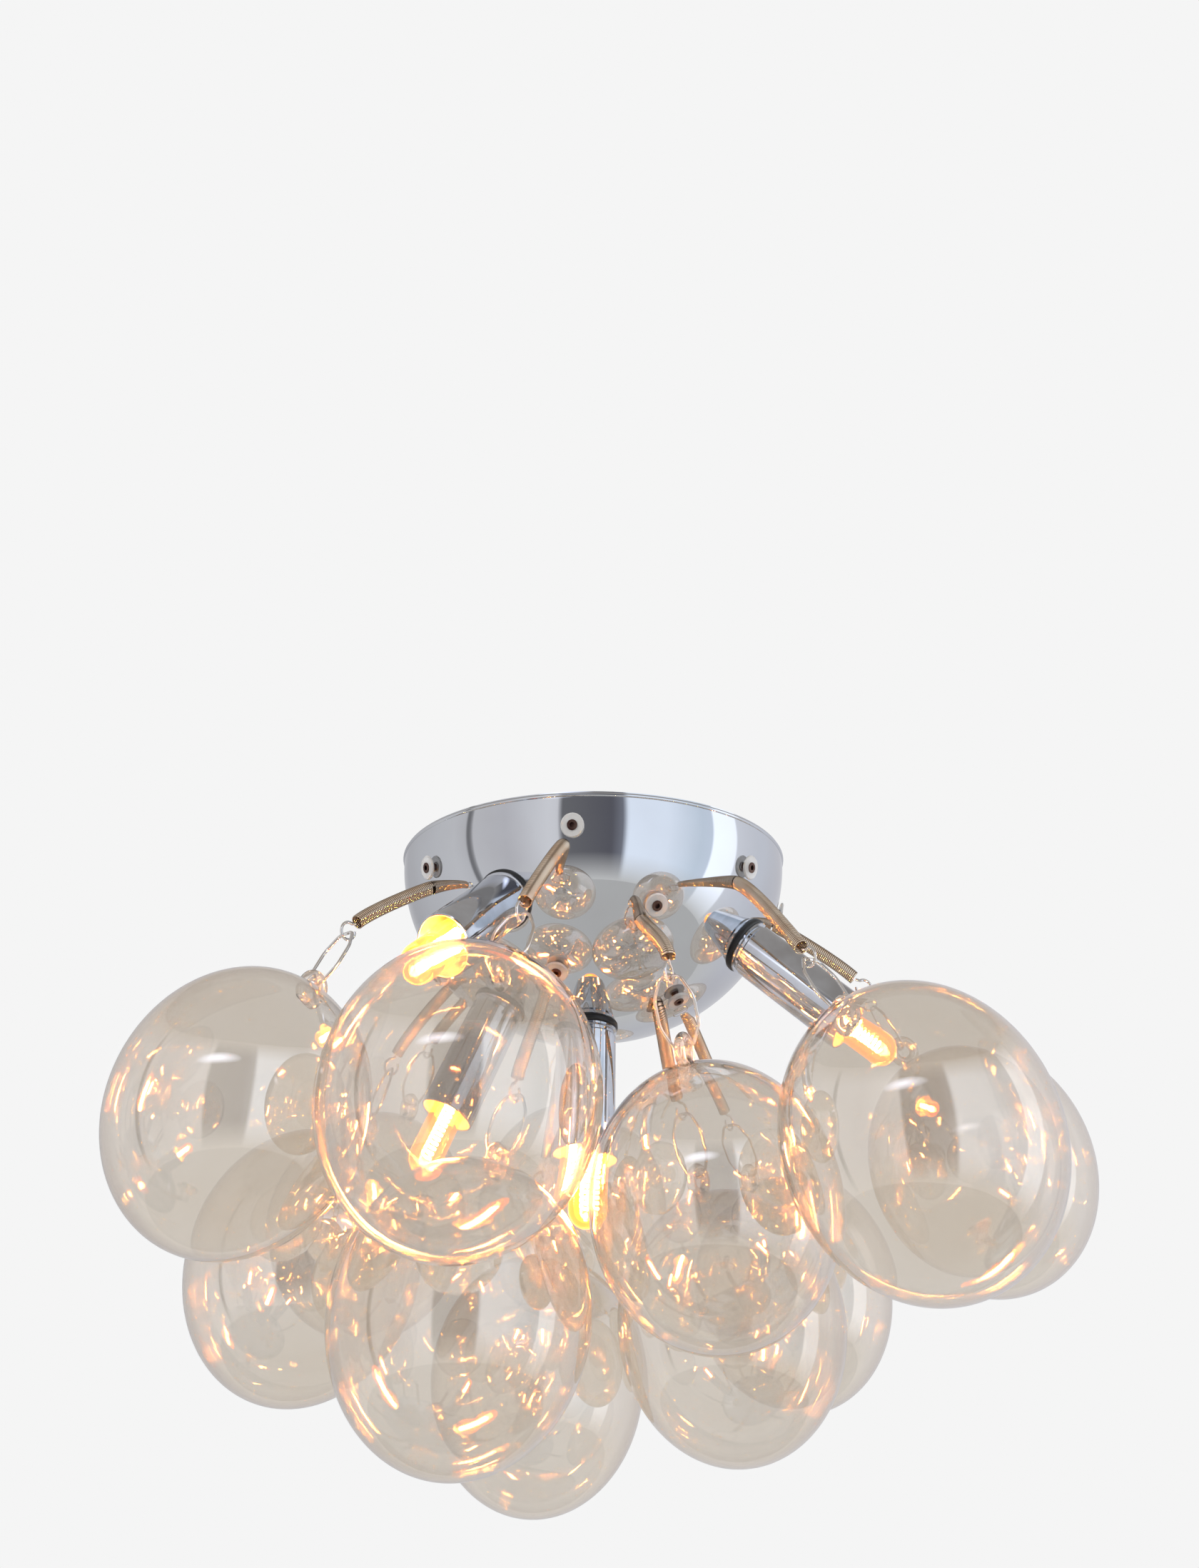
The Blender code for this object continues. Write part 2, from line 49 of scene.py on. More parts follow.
def addCamera():
    wide, tall = camera["picture"]
    tilt = math.radians(90 + camera["pitch"])
    bpy.ops.object.camera_add(location=camera["place"], rotation=(tilt, 0, 0))
    lens = bpy.context.active_object
    lens.data.sensor_width = camera["sensor"]
    lens.data.lens = camera["focal"] * camera["sensor"] / tall
    lens.data.shift_x = (wide / 2 - camera["axisPixel"][0]) / tall
    lens.data.shift_y = -(tall / 2 - camera["axisPixel"][1]) / tall
    lens.data.clip_start = camera["nearest"]
    bpy.context.scene.camera = lens


addCamera()
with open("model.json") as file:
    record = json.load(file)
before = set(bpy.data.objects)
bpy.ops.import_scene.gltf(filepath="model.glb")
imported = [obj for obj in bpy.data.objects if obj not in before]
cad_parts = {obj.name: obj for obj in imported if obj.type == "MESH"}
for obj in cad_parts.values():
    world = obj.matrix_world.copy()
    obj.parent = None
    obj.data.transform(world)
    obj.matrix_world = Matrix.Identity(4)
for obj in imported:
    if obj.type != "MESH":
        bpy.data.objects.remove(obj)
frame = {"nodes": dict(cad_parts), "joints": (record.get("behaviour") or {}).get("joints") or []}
nodes = frame["nodes"]
joints = {joint["name"]: joint for joint in frame["joints"]}
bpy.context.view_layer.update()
bpy.context.scene.view_settings.view_transform = "Standard"
for limit, value in lightPaths.items():
    setattr(bpy.context.scene.cycles, limit, value)
print("stage: camera and frame")


# small helpers
def setMode(mode):
    bpy.ops.object.mode_set(mode=mode)


def pick(piece, *others):
    if bpy.context.mode != "OBJECT":
        setMode("OBJECT")
    bpy.ops.object.select_all(action="DESELECT")
    for one in (piece, *others):
        one.select_set(True)
    bpy.context.view_layer.objects.active = piece


def newPiece(name):
    # names what was just added
    piece = bpy.context.active_object
    piece.name = name
    piece.data.name = name
    return piece


def bake(piece):
    # place, turn and scale go into the mesh
    pick(piece)
    bpy.ops.object.transform_apply(location=True, rotation=True, scale=True)


def applied(piece, kind, **settings):
    pick(piece)
    change = piece.modifiers.new(kind.title(), kind)
    for key, value in settings.items():
        setattr(change, key, value)
    bpy.ops.object.modifier_apply(modifier=change.name)


def cutOrFused(piece, other, operation):
    applied(piece, "BOOLEAN", operation=operation, object=other, solver="EXACT")
    bpy.data.objects.remove(other)


def joined(name, parts):
    pick(*parts)
    bpy.ops.object.join()
    return newPiece(name)


def copyOf(piece, name, place):
    twin = piece.copy()
    twin.data = piece.data.copy()
    twin.name = name
    twin.data.name = name
    bpy.context.scene.collection.objects.link(twin)
    twin.matrix_world = place
    bake(twin)
    return twin


def smooth(piece, angle=40):
    pick(piece)
    bpy.ops.object.shade_smooth_by_angle(angle=math.radians(angle))


def selectAllIn(piece):
    pick(piece)
    setMode("EDIT")
    bpy.ops.mesh.select_all(action="SELECT")


def selectFaces(piece, wanted):
    # leaves the piece in edit mode
    pick(piece)
    setMode("EDIT")
    bpy.ops.mesh.select_mode(type="FACE")
    bpy.ops.mesh.select_all(action="DESELECT")
    setMode("OBJECT")
    for face in piece.data.polygons:
        face.select = wanted(face)
    setMode("EDIT")


def turnInsideOut(piece):
    selectAllIn(piece)
    bpy.ops.mesh.flip_normals()
    setMode("OBJECT")


weldGap = 0.005 * mm


def turned(name, outline, steps):
    # spins an outline of (radius, height) points about Z
    bpy.ops.mesh.primitive_circle_add(vertices=len(outline), radius=mm)
    piece = newPiece(name)
    for point, (radius, height) in zip(piece.data.vertices, outline):
        point.co = (radius, 0, height)
    selectAllIn(piece)
    bpy.ops.mesh.spin(steps=steps, angle=2 * math.pi, center=(0, 0, 0), axis=(0, 0, 1))
    bpy.ops.mesh.select_all(action="SELECT")
    bpy.ops.mesh.remove_doubles(threshold=weldGap)
    bpy.ops.mesh.normals_make_consistent(inside=False)
    setMode("OBJECT")
    return piece


def coat(piece, *materials):
    piece.data.materials.clear()
    for material in materials:
        piece.data.materials.append(material)


def dress(piece, body=mainBody, stands=None):
    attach(piece, body)
    if stands:
        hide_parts(stands)


# finishes: all share one node group for smudges and fine grain
wear = {
    "smudgeDetail": 3,
    "grainScale": 900,
    "grainDetail": 2,
    "grainDepth": 0.1 * mm,
    "colourSpan": (0.42, 0.68),
    "roughSpan": (0.35, 0.7),
}
metal = {"Metallic": 1}
clearGlass = {"Transmission Weight": 1, "IOR": 1.45}
milky = {"Transmission Weight": 0.6, "IOR": 1.45}
halfMirrored = {"Transmission Weight": 1, "IOR": 1.45, "Metallic": 0.31}
# colour, worn colour, how fine the smudges are, roughness from and to, grain, other sockets
finishTable = {
    "polishedChrome": ((0.62, 0.635, 0.66), (0.585, 0.59, 0.61), 25, (0.015, 0.04), 0, metal),
    "sleeveChrome": ((0.62, 0.64, 0.68), (0.5, 0.5, 0.52), 60, (0.04, 0.1), 0, metal),
    "sleeveBore": ((0.74, 0.68, 0.58), (0.62, 0.55, 0.45), 120, (0.3, 0.42), 0, metal),
    "nickelSpring": ((0.8, 0.655, 0.5), (0.7, 0.51, 0.35), 90, (0.05, 0.16), 0, metal),
    "brightWire": ((0.86, 0.84, 0.82), (0.78, 0.68, 0.58), 90, (0.08, 0.16), 0, metal),
    "zincedSteel": ((0.55, 0.56, 0.58), (0.45, 0.46, 0.5), 120, (0.3, 0.5), 0.15, metal),
    "plainBrass": ((0.72, 0.52, 0.2), (0.5, 0.34, 0.14), 150, (0.2, 0.4), 0.1, metal),
    "blackRubber": ((0.01, 0.01, 0.011), (0.02, 0.02, 0.02), 120, (0.35, 0.5), 0.2, {}),
    "whiteNylon": ((0.78, 0.77, 0.73), (0.68, 0.66, 0.6), 120, (0.4, 0.55), 0.2, {}),
    "leadBraid": ((0.75, 0.72, 0.66), (0.6, 0.55, 0.48), 300, (0.6, 0.8), 0.6, {}),
    "steatite": ((0.85, 0.8, 0.68), (0.75, 0.68, 0.52), 150, (0.35, 0.5), 0.3, {}),
    "milkyPlastic": ((0.95, 0.94, 0.93), (0.88, 0.86, 0.84), 150, (0.1, 0.25), 0, milky),
    "darkEyelet": ((0.09, 0.045, 0.04), (0.16, 0.1, 0.08), 200, (0.3, 0.5), 0, metal),
    "insideGlass": ((0.99, 0.98, 0.97), (0.97, 0.96, 0.94), 14, (0.0, 0.01), 0, clearGlass),
    "amberLustre": ((0.93, 0.88, 0.82), (0.9, 0.83, 0.75), 14, (0.0, 0.01), 0, halfMirrored),
    "whiteHotFilament": ((0.9, 0.9, 0.9), (0.9, 0.9, 0.9), 60, (0.3, 0.4), 0, {}),
    "capsuleGlass": ((1, 0.42, 0.11), (1, 0.36, 0.08), 60, (0.0, 0.03), 0, clearGlass),
    "hotInsideGlass": ((1, 0.9, 0.8), (1, 0.84, 0.7), 60, (0.0, 0.03), 0, clearGlass),
    "paleFloor": ((0.82, 0.81, 0.8), (0.8, 0.79, 0.78), 2, (0.7, 0.8), 0, {}),
}
# painted shade at glancing edges: the springs' dark sides and the globes' brown rims stand in for reflected
# and refracted shade; colour where the surface turns away, how far it has to turn, and the most of it
paintedEdgeShade = {
    "nickelSpring": ((0.13, 0.075, 0.04), (0.2, 0.85), 1.0),
    "amberLustre": ((0.55, 0.43, 0.34), (0.55, 1.0), 0.9),
}
# colour and strength of the lit bulbs
glows = {
    "whiteHotFilament": ((1, 0.62, 0.27), 9000),
    "capsuleGlass": ((1, 0.24, 0.05), 0.7),
    "hotInsideGlass": ((1, 0.25, 0.045), 1.5),
}


def feed(tree, socket, value):
    # a plain value is set and an output is linked
    if isinstance(value, (tuple, int, float)):
        socket.default_value = value
    else:
        tree.links.new(value, socket)


def noiseAt(tree, coordinates, scale, detail):
    noise = tree.nodes.new("ShaderNodeTexNoise")
    feed(tree, noise.inputs["Vector"], coordinates)
    feed(tree, noise.inputs["Scale"], scale)
    feed(tree, noise.inputs["Detail"], detail)
    return noise.outputs["Fac"]


def mixColour(tree, share, first, second):
    mix = tree.nodes.new("ShaderNodeMix")
    mix.data_type = "RGBA"
    # the share and the two colours, out of the sockets of all kinds of mix
    feed(tree, mix.inputs[0], share)
    feed(tree, mix.inputs[6], first)
    feed(tree, mix.inputs[7], second)
    return mix.outputs[2]


def stretched(tree, value, span, low, high):
    shape = tree.nodes.new("ShaderNodeMapRange")
    feed(tree, shape.inputs["Value"], value)
    feed(tree, shape.inputs["From Min"], span[0])
    feed(tree, shape.inputs["From Max"], span[1])
    feed(tree, shape.inputs["To Min"], low)
    feed(tree, shape.inputs["To Max"], high)
    return shape.outputs["Result"]


def makeWearGroup():
    group = bpy.data.node_groups.new("handledSurface", "ShaderNodeTree")
    colourKind, numberKind = "NodeSocketColor", "NodeSocketFloat"
    for label, kind in (
        ("Base", colourKind), ("Worn", colourKind),
        ("Scale", numberKind), ("Smooth", numberKind), ("Rough", numberKind),
    ):
        group.interface.new_socket(label, in_out="INPUT", socket_type=kind)
    for label, kind in (("Color", colourKind), ("Roughness", numberKind), ("Height", numberKind)):
        group.interface.new_socket(label, in_out="OUTPUT", socket_type=kind)
    start = group.nodes.new("NodeGroupInput").outputs
    end = group.nodes.new("NodeGroupOutput").inputs
    place = group.nodes.new("ShaderNodeTexCoord").outputs["Object"]
    smudges = noiseAt(group, place, start["Scale"], wear["smudgeDetail"])
    grain = noiseAt(group, place, wear["grainScale"], wear["grainDetail"])
    share = stretched(group, smudges, wear["colourSpan"], 0.0, 1.0)
    roughness = stretched(group, smudges, wear["roughSpan"], start["Smooth"], start["Rough"])
    feed(group, end["Color"], mixColour(group, share, start["Base"], start["Worn"]))
    feed(group, end["Roughness"], roughness)
    feed(group, end["Height"], grain)
    return group


wearGroup = makeWearGroup()


def newFinish(name, colour, worn, smudgeScale, roughness, grain, sockets):
    material = bpy.data.materials.new(name)
    material.use_nodes = True
    tree = material.node_tree
    shader = tree.nodes["Principled BSDF"].inputs
    surface = tree.nodes.new("ShaderNodeGroup")
    surface.node_tree = wearGroup
    surface.inputs["Base"].default_value = (*colour, 1)
    surface.inputs["Worn"].default_value = (*worn, 1)
    surface.inputs["Scale"].default_value = smudgeScale
    surface.inputs["Smooth"].default_value, surface.inputs["Rough"].default_value = roughness
    feed(tree, shader["Base Color"], surface.outputs["Color"])
    feed(tree, shader["Roughness"], surface.outputs["Roughness"])
    if grain:
        dent = tree.nodes.new("ShaderNodeBump")
        dent.inputs["Strength"].default_value = grain
        dent.inputs["Distance"].default_value = wear["grainDepth"]
        feed(tree, dent.inputs["Height"], surface.outputs["Height"])
        feed(tree, shader["Normal"], dent.outputs["Normal"])
    for label, value in sockets.items():
        shader[label].default_value = value
    return material


# paints shade into the base colour, darker where the surface turns away from the view
def paintEdgeShade(material, colour, turnedAway, most):
    tree = material.node_tree
    baseColour = tree.nodes["Principled BSDF"].inputs["Base Color"]
    glancing = tree.nodes.new("ShaderNodeLayerWeight")
    share = stretched(tree, glancing.outputs["Facing"], turnedAway, 0.0, most)
    plain = baseColour.links[0].from_socket
    feed(tree, baseColour, mixColour(tree, share, plain, (*colour, 1)))


finish = {name: newFinish(name, *values) for name, values in finishTable.items()}
for name, values in paintedEdgeShade.items():
    paintEdgeShade(finish[name], *values)
for name, (colour, strength) in glows.items():
    shader = finish[name].node_tree.nodes["Principled BSDF"].inputs
    shader["Emission Color"].default_value = (*colour, 1)
    shader["Emission Strength"].default_value = strength
print("stage: finishes")


# canopy
canopy = {
    "radius": 93.5 * mm,
    "depth": 80 * mm,
    "wall": 1.2 * mm,
    "bead": 0.9 * mm,  # radius of the rolled rim
    "beadInset": 0.225 * mm,
    "beadHeight": 1.3 * mm,
    "beadSides": 16,
    "segments": 128,
    "rings": 96,
}
# degrees round the bowl from the right, and below level
lampSeats = [(-118, 34), (-21, 40), (-152, 64), (-95, 82)]
armFeet = [
    (-147, 23), (-98, 19), (-42, 24), (2, 24), (50, 46), (95, 25),
    (135, 32), (-179, 48), (-73, 42), (-43, 68), (100, 58), (-110, 62),
]
armNumbers = range(1, len(armFeet) + 1)


def seatOn(azimuth, slope):
    # frame on the bowl's outside: Z is the surface's normal, Y points up the bowl
    turn, fall = math.radians(azimuth), math.radians(slope)
    normal = Vector((math.cos(fall) * math.cos(turn), math.cos(fall) * math.sin(turn), -math.sin(fall)))
    sizes = (canopy["radius"], canopy["radius"], canopy["depth"])
    scaled = Vector([size * part for size, part in zip(sizes, normal)])
    point = Vector([size * part for size, part in zip(sizes, scaled)]) / scaled.length
    across = Vector((0, 0, 1)).cross(normal).normalized()
    axes = Matrix((across, normal.cross(across), normal)).transposed()
    return Matrix.Translation(point) @ axes.to_4x4()


def seatNear(point):
    flat = point.xy / canopy["radius"] ** 2
    slope = math.atan2(-point.z / canopy["depth"] ** 2, flat.length)
    return seatOn(math.degrees(math.atan2(flat.y, flat.x)), math.degrees(slope))


def makeCanopy():
    bpy.ops.mesh.primitive_uv_sphere_add(
        segments=canopy["segments"], ring_count=canopy["rings"], radius=canopy["radius"]
    )
    bowl = newPiece("canopyBowl")
    selectAllIn(bowl)
    bpy.ops.transform.resize(value=(1, 1, canopy["depth"] / canopy["radius"]))
    bpy.ops.mesh.bisect(plane_co=(0, 0, 0), plane_no=(0, 0, 1), clear_outer=True)
    setMode("OBJECT")
    applied(bowl, "SOLIDIFY", thickness=canopy["wall"], offset=-1)
    bpy.ops.mesh.primitive_torus_add(
        major_radius=canopy["radius"] - canopy["beadInset"],
        minor_radius=canopy["bead"],
        major_segments=canopy["segments"],
        minor_segments=canopy["beadSides"],
        location=(0, 0, -canopy["beadHeight"]),
    )
    bead = newPiece("rimBead")
    bake(bead)
    bowl = joined("canopyBowl", [bowl, bead])
    smooth(bowl)
    coat(bowl, finish["polishedChrome"])
    dress(bowl, stands="canopy")


makeCanopy()
print("stage: canopy")


# clear stop discs on their eyelets, one beside the foot of each arm
disc = {
    "radius": 5.2 * mm,
    "hole": 1.9 * mm,
    "thickness": 1.3 * mm,
    "softShare": 0.3,  # of the thickness
    "steps": 32,
    "standoff": 1.6 * mm,
    "rise": 8.2 * mm,
    "aside": 4.6 * mm,
}
eyelet = {
    "radius": 1.75 * mm,
    "bore": 1.1 * mm,
    "flange": 2.3 * mm,
    "lip": 0.35 * mm,
    "steps": 20,
    "plugShare": 1.05,  # of the bore
    "plugSides": 16,
}


def makeDiscPattern():
    low, high = disc["standoff"], disc["standoff"] + disc["thickness"]
    soft = disc["thickness"] * disc["softShare"]
    outline = [
        (disc["hole"], low),
        (disc["radius"] - soft, low),
        (disc["radius"], low + soft),
        (disc["radius"], high - soft),
        (disc["radius"] - soft, high),
        (disc["hole"], high),
    ]
    pattern = turned("discPattern", outline, disc["steps"])
    smooth(pattern)
    coat(pattern, finish["milkyPlastic"])
    return pattern


def makeEyeletPattern():
    low, high = disc["standoff"], disc["standoff"] + disc["thickness"]
    outline = [
        (eyelet["bore"], -canopy["wall"] / 2),
        (eyelet["radius"], -canopy["wall"] / 2),
        (eyelet["radius"], high),
        (eyelet["flange"], high),
        (eyelet["flange"], high + eyelet["lip"]),
        (eyelet["bore"], high + eyelet["lip"]),
    ]
    ring = turned("eyeletPattern", outline, eyelet["steps"])
    smooth(ring)
    bpy.ops.mesh.primitive_cylinder_add(
        vertices=eyelet["plugSides"],
        radius=eyelet["bore"] * eyelet["plugShare"],
        depth=low,
        location=(0, 0, low / 2),
    )
    plug = newPiece("eyeletPlug")
    bake(plug)
    pattern = joined("eyeletPattern", [ring, plug])
    coat(pattern, finish["darkEyelet"])
    return pattern


discPattern, eyeletPattern = makeDiscPattern(), makeEyeletPattern()
for number, foot in zip(armNumbers, armFeet):
    place = seatNear(seatOn(*foot) @ Vector((disc["aside"], disc["rise"], 0)))
    dress(copyOf(discPattern, f"stopDisc{number}", place))
    dress(copyOf(eyeletPattern, f"discEyelet{number}", place))
for pattern in (discPattern, eyeletPattern):
    bpy.data.objects.remove(pattern)
print("stage: stop discs")


# springs: a coil from the screw modifier, bent along a curve, and an end loop
spring = {
    "wire": 0.43 * mm,  # radius
    "wireSides": 8,
    "radius": 2.87 * mm,  # middle of the wire
    "flatShare": 0.6,  # of the wire, across the coil
    "pitch": 0.88 * mm,
    "stepsPerTurn": 18,
    "footGap": 0.3 * mm,
    "bendShare": 0.2,  # of the way from foot to tip
    "footShare": 0.72,  # of the tip's bend
    "lineSteps": 48,
    "lengthSteps": 256,
    "loopWire": 0.65 * mm,
    "loopWireRoundness": 3,
    "loopRadius": 3.6 * mm,
    "loopLead": 1.6 * mm,
    "loopRise": 1.5 * mm,  # of its centre over the hinge
    "loopStart": 18,  # degrees
    "loopSweep": 300,
    "loopSteps": 24,
}


def hangingFrame(number, kind):
    # origin on the joint, X along the hinge and Z up the hanging chain
    top = Vector(joints[f"link_{number}_swing"]["pos_m"])
    low = Vector(joints[f"globe_{number}_swing"]["pos_m"])
    up = (top - low).normalized()
    hinge = Vector(joints[f"link_{number}_swing"]["axis"]).normalized()
    axes = Matrix((hinge, up.cross(hinge), up)).transposed()
    return Matrix.Translation(top if kind == "link" else low) @ axes.to_4x4()


def springLine(number):
    # the coil's foot, two bend points and tip, then the loop's centre, approach and hinge
    foot = seatOn(*armFeet[number - 1])
    hook = hangingFrame(number, "link")
    hinge, up = hook.col[0].xyz, hook.col[2].xyz
    loop = hook.translation + up * spring["loopRise"]
    start = foot @ Vector((0, 0, spring["footGap"]))
    toward = (loop - start).normalized() - up
    approach = (toward - hinge * toward.dot(hinge)).normalized()
    tip = loop - approach * (spring["loopRadius"] + spring["loopLead"])
    bend = (tip - start).length * spring["bendShare"]
    knots = (start, start + foot.col[2].xyz * bend * spring["footShare"], tip - approach * bend, tip)
    return knots, loop, approach, hinge


def bentCurve(start, first, second, tip):
    bpy.ops.curve.primitive_bezier_curve_add()
    line = bpy.context.active_object
    line.data.resolution_u = spring["lineSteps"]
    ends = line.data.splines[0].bezier_points
    for knot in ends:
        knot.handle_left_type = knot.handle_right_type = "FREE"
    ends[0].co, ends[0].handle_right, ends[0].handle_left = start, first, start * 2 - first
    ends[1].co, ends[1].handle_left, ends[1].handle_right = tip, second, tip * 2 - second
    line.data.twist_mode = "MINIMUM"
    return line


def makeCoil(number, knots):
    line = bentCurve(*knots)
    length = line.data.splines[0].calc_length(resolution=spring["lengthSteps"])
    turns = round(length / spring["pitch"])
    bpy.ops.mesh.primitive_circle_add(
        vertices=spring["wireSides"], radius=spring["wire"], location=(0, spring["radius"], 0)
    )
    coil = newPiece(f"springCoil{number}")
    coil.scale = (1, spring["flatShare"], 1)
    bake(coil)
    applied(
        coil,
        "SCREW",
        axis="X",
        iterations=turns,
        screw_offset=(length - 2 * spring["wire"]) / turns,
        angle=2 * math.pi,
        steps=spring["stepsPerTurn"],
        render_steps=spring["stepsPerTurn"],
        use_smooth_shade=True,
    )
    applied(coil, "CURVE", object=line, deform_axis="POS_X")
    bpy.data.objects.remove(line)
    coat(coil, finish["nickelSpring"])
    dress(coil, stands=f"spring_{number}")


def makeEndLoop(number, tip, loop, approach, hinge):
    # lies in the plane across the hinge, and a short straight lead joins it to the coil
    side = hinge.cross(approach)
    points = [tip]
    for step in range(spring["loopSteps"] + 1):
        turn = math.radians(spring["loopStart"] + spring["loopSweep"] * step / spring["loopSteps"])
        points.append(loop + (side * math.sin(turn) - approach * math.cos(turn)) * spring["loopRadius"])
    bpy.ops.curve.primitive_nurbs_path_add()
    wire = newPiece(f"springLoop{number}")
    wire.data.splines.clear()
    path = wire.data.splines.new("POLY")
    path.points.add(len(points) - 1)
    for knot, point in zip(path.points, points):
        knot.co = (*point, 1)
    wire.data.bevel_depth = spring["loopWire"]
    wire.data.bevel_resolution = spring["loopWireRoundness"]
    wire.data.use_fill_caps = True
    pick(wire)
    bpy.ops.object.convert(target="MESH")
    smooth(wire)
    coat(wire, finish["brightWire"])
    dress(wire)


for number in armNumbers:
    knots, loop, approach, hinge = springLine(number)
    makeCoil(number, knots)
    makeEndLoop(number, knots[-1], loop, approach, hinge)
print("stage: springs")


# links: an octagon of wire with rounded corners
link = {
    "length": 26.5 * mm,
    "halfWidth": 8.6 * mm,
    "endHalfWidth": 4.2 * mm,
    "shoulder": 8 * mm,
    "wire": 0.7 * mm,
    "wireRoundness": 4,
    "cornerRound": 2 * mm,
    "cornerSteps": 5,
    "smoothAngle": 60,
}


def makeLinkPattern():
    wide, end, fall = link["halfWidth"], link["endHalfWidth"], link["length"]
    corners = [
        (end, 0), (wide, -link["shoulder"]), (wide, link["shoulder"] - fall), (end, -fall),
        (-end, -fall), (-wide, link["shoulder"] - fall), (-wide, -link["shoulder"]), (-end, 0),
    ]
    bpy.ops.mesh.primitive_circle_add(vertices=len(corners))
    ring = newPiece("linkPattern")
    for point, (x, z) in zip(ring.data.vertices, corners):
        point.co = (x, 0, z)
    selectAllIn(ring)
    bpy.ops.mesh.bevel(offset=link["cornerRound"], segments=link["cornerSteps"], affect="VERTICES")
    setMode("OBJECT")
    bpy.ops.object.convert(target="CURVE")
    ring.data.bevel_depth = link["wire"]
    ring.data.bevel_resolution = link["wireRoundness"]
    bpy.ops.object.convert(target="MESH")
    smooth(ring, link["smoothAngle"])
    coat(ring, finish["brightWire"])
    return ring


linkPattern = makeLinkPattern()
for number in armNumbers:
    ring = copyOf(linkPattern, f"wireLink{number}", hangingFrame(number, "link"))
    dress(ring, f"link_{number}", f"link_{number}")
bpy.data.objects.remove(linkPattern)
print("stage: links")


# globes: blown ball drawn up to a neck, with the eye fused on
globe = {
    "radius": 49 * mm,
    "wall": 1.1 * mm,
    "segments": 96,
    "rings": 64,
    "eyeDrop": 1.6 * mm,  # of the eye's centre, from the hinge
    "eyeStand": 5 * mm,  # of the eye's centre, over the ball
    "eyeRadius": 4.9 * mm,
    "eyeTube": 2.2 * mm,
    "eyeSegments": 48,
    "eyeTubeSides": 24,
    "neckReach": 4.76 * mm,
    "neckInset": 0.5 * mm,
    "neckShares": (0.7, 0.7, 0.2),  # what is left of its top, across and up
    "smoothAngle": 60,
}


def makeBall(name, radius, centre):
    bpy.ops.mesh.primitive_uv_sphere_add(
        segments=globe["segments"], ring_count=globe["rings"], radius=radius, location=(0, 0, centre)
    )
    ball = newPiece(name)
    bake(ball)
    return ball


def makeGlobePattern():
    centre = -globe["eyeDrop"] - globe["eyeStand"] - globe["radius"]
    eyeFoot = -globe["eyeDrop"] - globe["eyeRadius"]
    ball = makeBall("globePattern", globe["radius"], centre)
    # the neck is drawn up from the pole into the foot of the eye
    crown = centre + globe["radius"] * math.cos(globe["neckReach"] / globe["radius"])
    selectFaces(ball, lambda face: face.center.z > crown)
    bpy.ops.mesh.inset(thickness=globe["neckInset"])
    rise = eyeFoot - globe["radius"] - centre
    bpy.ops.mesh.extrude_region_move(TRANSFORM_OT_translate={"value": (0, 0, rise)})
    bpy.ops.transform.resize(value=globe["neckShares"], center_override=(0, 0, eyeFoot))
    setMode("OBJECT")
    bpy.ops.mesh.primitive_torus_add(
        major_radius=globe["eyeRadius"],
        minor_radius=globe["eyeTube"],
        major_segments=globe["eyeSegments"],
        minor_segments=globe["eyeTubeSides"],
        location=(0, 0, -globe["eyeDrop"]),
        rotation=(0, math.pi / 2, 0),
    )
    eye = newPiece("eyePattern")
    bake(eye)
    cutOrFused(ball, eye, "UNION")
    hollow = makeBall("hollow", globe["radius"] - globe["wall"], centre)
    turnInsideOut(hollow)
    coat(ball, finish["amberLustre"])
    coat(hollow, finish["insideGlass"])
    whole = joined("globePattern", [ball, hollow])
    smooth(whole, globe["smoothAngle"])
    return whole


globePattern = makeGlobePattern()
for number in armNumbers:
    ball = copyOf(globePattern, f"glassGlobe{number}", hangingFrame(number, "globe"))
    dress(ball, f"globe_{number}", f"globe_{number}")
bpy.data.objects.remove(globePattern)
print("stage: globes")


# lampholders: gasket, sleeve with its stem and nut, and socket
gasket = {
    "radius": 12.8 * mm,
    "height": 0.9 * mm,
    "skirt": 1.3 * mm,
    "swell": 0.125 * mm,
    "soft": 0.5 * mm,
}
sleeve = {
    "radius": 12 * mm,
    "wall": 1 * mm,
    "collarTop": 2.4 * mm,
    "groove": 0.7 * mm,
    "foot": 3.3 * mm,
    "length": 50 * mm,
    "floor": 1.6 * mm,
    "soft": 0.35 * mm,
    "stem": 5 * mm,
    "stemBore": 3.2 * mm,
    "steps": 96,
    "smoothAngle": 30,
}
nut = {
    "top": -2.5 * mm,
    "height": 3.6 * mm,
    "radius": 7.5 * mm,
    "sides": 6,
    "soft": 0.5 * mm,
    "softSteps": 2,
}
socket = {
    "foot": 5.2 * mm,
    "flange": 10.7 * mm,
    "flangeHeight": 5 * mm,
    "radius": 8.6 * mm,
    "length": 30 * mm,
    "soft": 0.6 * mm,
    "slotGap": 0.5 * mm,  # round the bulb's foot
    "steps": 48,
    "smoothAngle": 30,
}
bulb = {
    "foot": 30.5 * mm,
    "pinch": (13.6 * mm, 4.2 * mm, 7 * mm),  # wide, thick and tall
    "pinchSoft": 1.2 * mm,
    "pinchSoftSteps": 4,
    "sink": 1 * mm,  # of the capsule into the foot
    "radius": 7.2 * mm,
    "length": 41.5 * mm,
    "wall": 2.2 * mm,
    "innerFloor": 2 * mm,
    "shoulderShares": [(0.55, 0), (0.9, 0.35), (1, 0.7)],  # of the radius, across and up
    "crownSteps": 12,
    "steps": 64,
    "smoothAngle": 50,
}
filament = {
    "radius": 2.2 * mm,
    "wire": 0.5 * mm,
    "wireSides": 6,
    "turns": 14,
    "steps": 12,
    "endGap": 7 * mm,
}
pin = {"radius": 0.7 * mm, "spacing": 9 * mm, "length": 8 * mm, "sides": 16}


